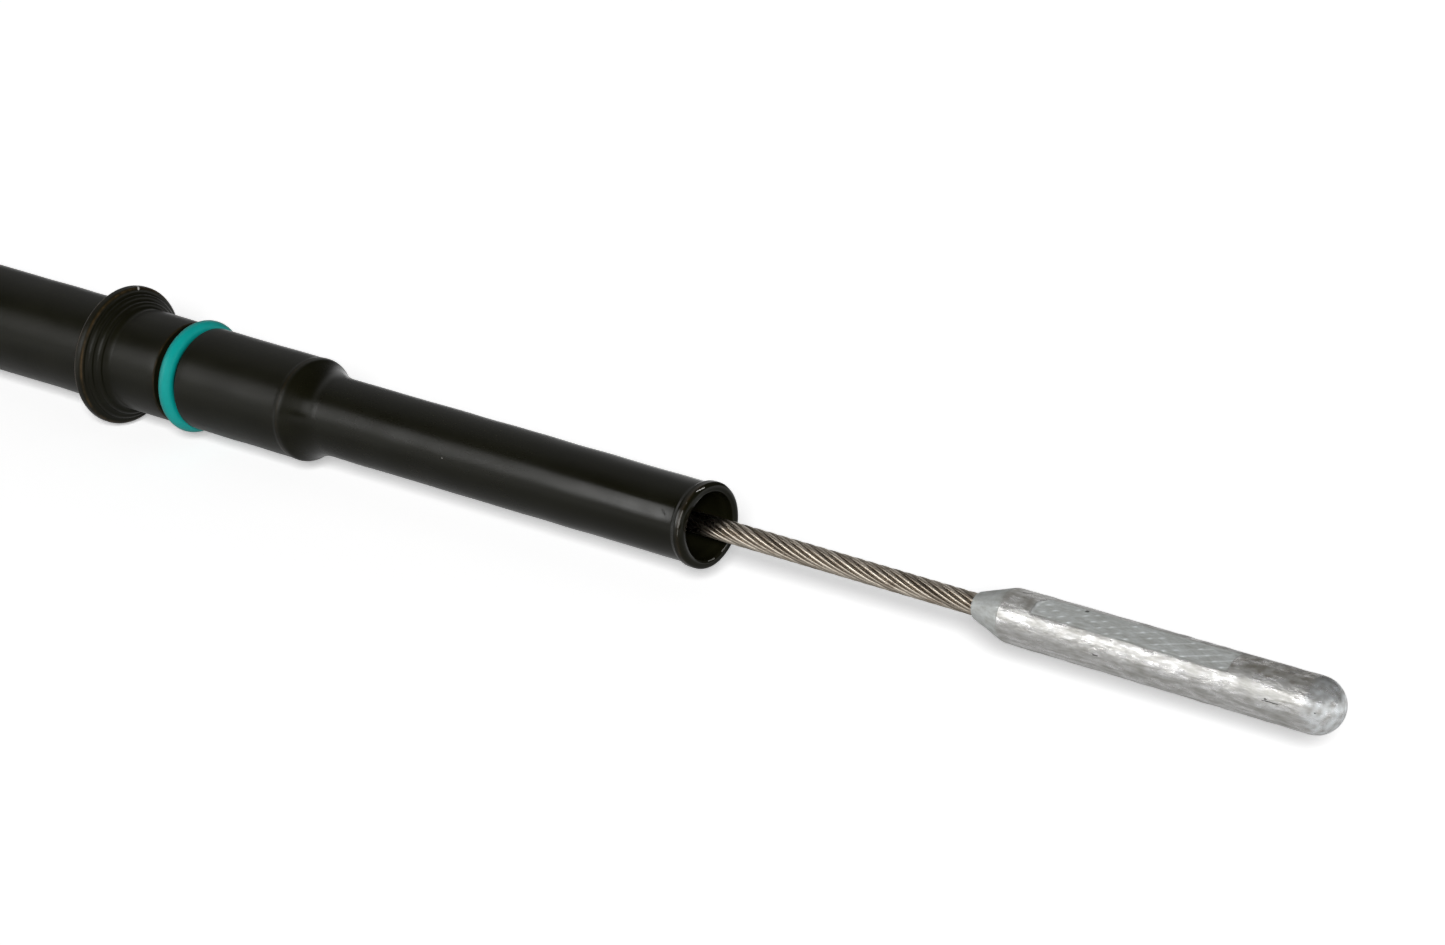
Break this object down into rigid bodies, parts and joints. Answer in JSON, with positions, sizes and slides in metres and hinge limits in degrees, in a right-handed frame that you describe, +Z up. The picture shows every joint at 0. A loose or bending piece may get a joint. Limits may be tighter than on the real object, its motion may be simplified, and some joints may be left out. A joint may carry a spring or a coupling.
{
  "type": "oil dipstick with guide tube",
  "caption": "Engine oil dipstick in its formed guide tube: flanged spigot with a seal, cup and finger ring at one end, wire rope with a hatched gauge tip at the other.",
  "frame": {"origin": "on the tube's axis, in the plane of the flange face that seats on the engine block", "axes": "+X along the tube's axis towards the gauge tip, the way the spigot goes into the block; +Z up, square to the bracket's plate; +Y away from the bracket's ear"},
  "size_m": [0.3905, 0.0442, 0.0177],
  "materials": {
    "black_paint": "satin black paint",
    "spigot_rubber": "smooth moulded rubber",
    "handle_plastic": "satin moulded plastic",
    "handle_rubber": "smooth moulded rubber",
    "plated_steel": "plated",
    "rope_steel": "drawn wire",
    "cast_zinc": "tumbled die-cast zinc"
  },
  "bodies": {
    "guide": {"guide_tube": "black_paint", "spigot_seal": "spigot_rubber", "mounting_bracket": "black_paint", "bracket_welds": "black_paint"},
    "seals": {"outer_handle_seal": "handle_rubber", "inner_handle_seal": "handle_rubber"},
    "dipstick": {"handle": "handle_plastic", "crimp_sleeve": "plated_steel", "rope_core_wire": "rope_steel", "rope_inner_wires": "rope_steel", "rope_outer_wires": "rope_steel", "gauge_tip": "cast_zinc"}
  },
  "joints": [
    {"name": "dipstick_slide", "type": "slide", "parent": "guide", "child": "seals", "axis": [-1, 0, 0], "range_m": [0, 0.345]},
    {"name": "dipstick_turn", "type": "hinge", "parent": "seals", "child": "dipstick", "pos_m": [0, 0, 0], "axis": [1, 0, 0], "continuous": true}
  ]
}
